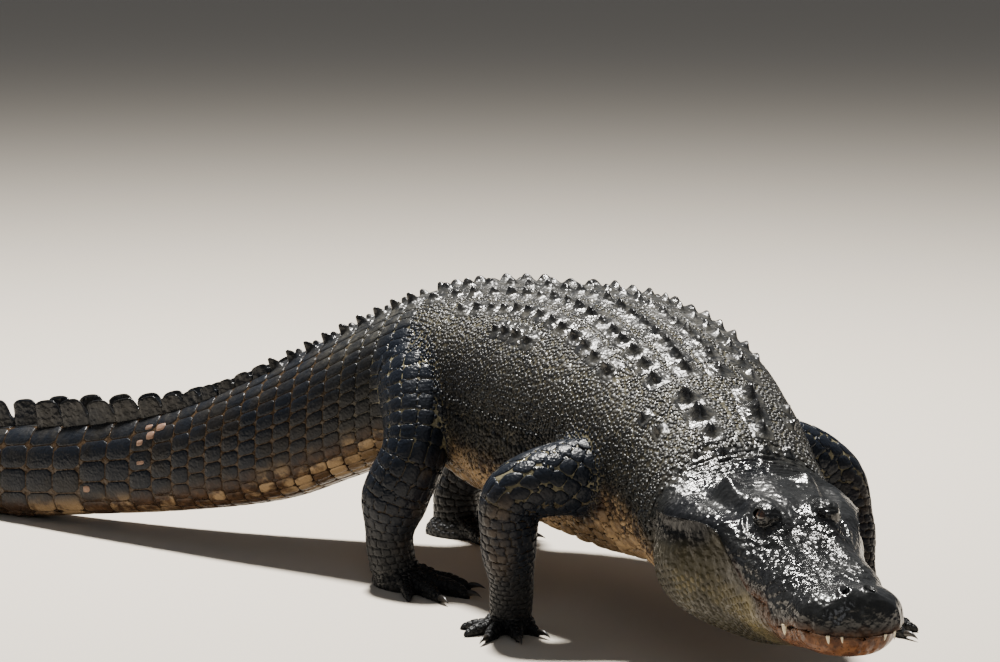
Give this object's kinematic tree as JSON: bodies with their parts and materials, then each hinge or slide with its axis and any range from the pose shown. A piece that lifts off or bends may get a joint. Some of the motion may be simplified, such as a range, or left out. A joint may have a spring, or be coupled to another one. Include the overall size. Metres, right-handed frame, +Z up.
{
  "type": "american alligator model",
  "caption": "Life-size still model of an American alligator in a high walk: keeled plated back, crested bent tail, broad flat snout and splayed clawed feet.",
  "frame": {"origin": "centre of the model's box on the ground plane", "axes": "+X forwards along the trunk, +Y to the animal's left, +Z up"},
  "size_m": [3.044, 0.9406, 0.5547],
  "materials": {
    "hide": "wet, nearly black scaly hide with pale creases",
    "jaw_hide": "olive to rusty tan scaly skin, wet",
    "eye": "glossy dark amber-brown",
    "claw": "smooth black horn"
  },
  "bodies": {
    "root": {"belly": "hide", "chest": "hide", "head": "hide", "hips": "hide", "left_eye": "eye", "left_fore_claw_1": "claw", "left_fore_claw_2": "claw", "left_fore_claw_3": "claw", "left_fore_foot": "hide", "left_fore_forearm": "hide", "left_fore_upper_arm": "hide", "left_hind_claw_1": "claw", "left_hind_claw_2": "claw", "left_hind_claw_3": "claw", "left_hind_foot": "hide", "left_hind_shank": "hide", "left_hind_thigh": "hide", "lower_jaw": "jaw_hide", "neck": "hide", "right_eye": "eye", "right_fore_claw_1": "claw", "right_fore_claw_2": "claw", "right_fore_claw_3": "claw", "right_fore_foot": "hide", "right_fore_forearm": "hide", "right_fore_upper_arm": "hide", "right_hind_claw_1": "claw", "right_hind_claw_2": "claw", "right_hind_claw_3": "claw", "right_hind_foot": "hide", "right_hind_shank": "hide", "right_hind_thigh": "hide", "tail_base": "hide", "tail_end": "hide", "tail_middle": "hide"}
  },
  "joints": []
}
